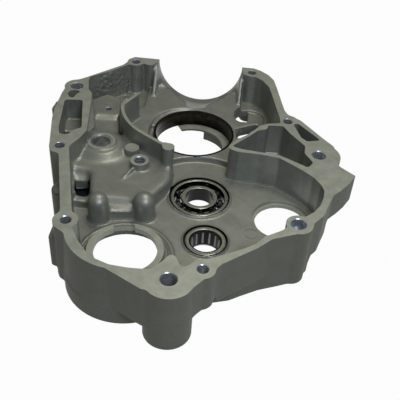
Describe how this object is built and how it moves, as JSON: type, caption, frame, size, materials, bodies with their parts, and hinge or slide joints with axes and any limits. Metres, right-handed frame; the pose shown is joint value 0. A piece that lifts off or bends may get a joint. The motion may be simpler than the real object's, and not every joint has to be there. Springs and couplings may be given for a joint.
{
  "type": "crankcase half",
  "caption": "Half of a small engine's crankcase: light alloy casting with a crank chamber, a gearbox floor, bolt bosses and a cylinder notch, with its bearings and a bush fitted.",
  "frame": {"origin": "on the crank axis, in the plane of the inner faces of the shaft bearings", "axes": "+Z out of the joint face, along the crank axis; +Y towards the cylinder; +X along the cylinder face, to the right when the joint face is seen with the cylinder at the top"},
  "size_m": [0.235, 0.2751, 0.0465],
  "materials": {
    "cast_aluminium": "matt as cast, with milled joint and boss faces",
    "sleeve_steel": "dark turned bore",
    "race_steel": "ground, bright",
    "cage_steel": "pressed sheet, oiled",
    "rivet_steel": "plain",
    "ball_steel": "polished",
    "needle_cage_steel": "blackened",
    "roller_steel": "polished",
    "bush_steel": "turned, satin"
  },
  "bodies": {
    "case": {"case_casting": "cast_aluminium", "crank_bearing_sleeve": "sleeve_steel", "ball_outer_race": "race_steel", "needle_outer_ring": "race_steel", "shaft_bush": "bush_steel"},
    "inner_race": {"ball_inner_race": "race_steel"},
    "ball_set": {"ball_cage_upper": "cage_steel", "ball_cage_lower": "cage_steel", "ball_cage_rivets": "rivet_steel", "ball_1": "ball_steel", "ball_2": "ball_steel", "ball_3": "ball_steel", "ball_4": "ball_steel", "ball_5": "ball_steel", "ball_6": "ball_steel", "ball_7": "ball_steel", "ball_8": "ball_steel", "ball_9": "ball_steel"},
    "roller_set": {"needle_cage": "needle_cage_steel", "needle_roller_1": "roller_steel", "needle_roller_2": "roller_steel", "needle_roller_3": "roller_steel", "needle_roller_4": "roller_steel", "needle_roller_5": "roller_steel", "needle_roller_6": "roller_steel", "needle_roller_7": "roller_steel", "needle_roller_8": "roller_steel", "needle_roller_9": "roller_steel", "needle_roller_10": "roller_steel", "needle_roller_11": "roller_steel", "needle_roller_12": "roller_steel", "needle_roller_13": "roller_steel", "needle_roller_14": "roller_steel"}
  },
  "joints": [
    {"name": "inner_race_spin", "type": "hinge", "parent": "case", "child": "inner_race", "pos_m": [0.012, -0.076, -0.006], "axis": [0, 0, 1], "continuous": true},
    {"name": "ball_set_spin", "type": "hinge", "parent": "case", "child": "ball_set", "pos_m": [0.012, -0.076, -0.006], "axis": [0, 0, 1], "continuous": true},
    {"name": "roller_set_spin", "type": "hinge", "parent": "case", "child": "roller_set", "pos_m": [0.0205, -0.1215, -0.007], "axis": [0, 0, 1], "continuous": true}
  ],
  "couplings": [
    {"joint": "ball_set_spin", "follows": "inner_race_spin", "ratio": 0.3976}
  ]
}
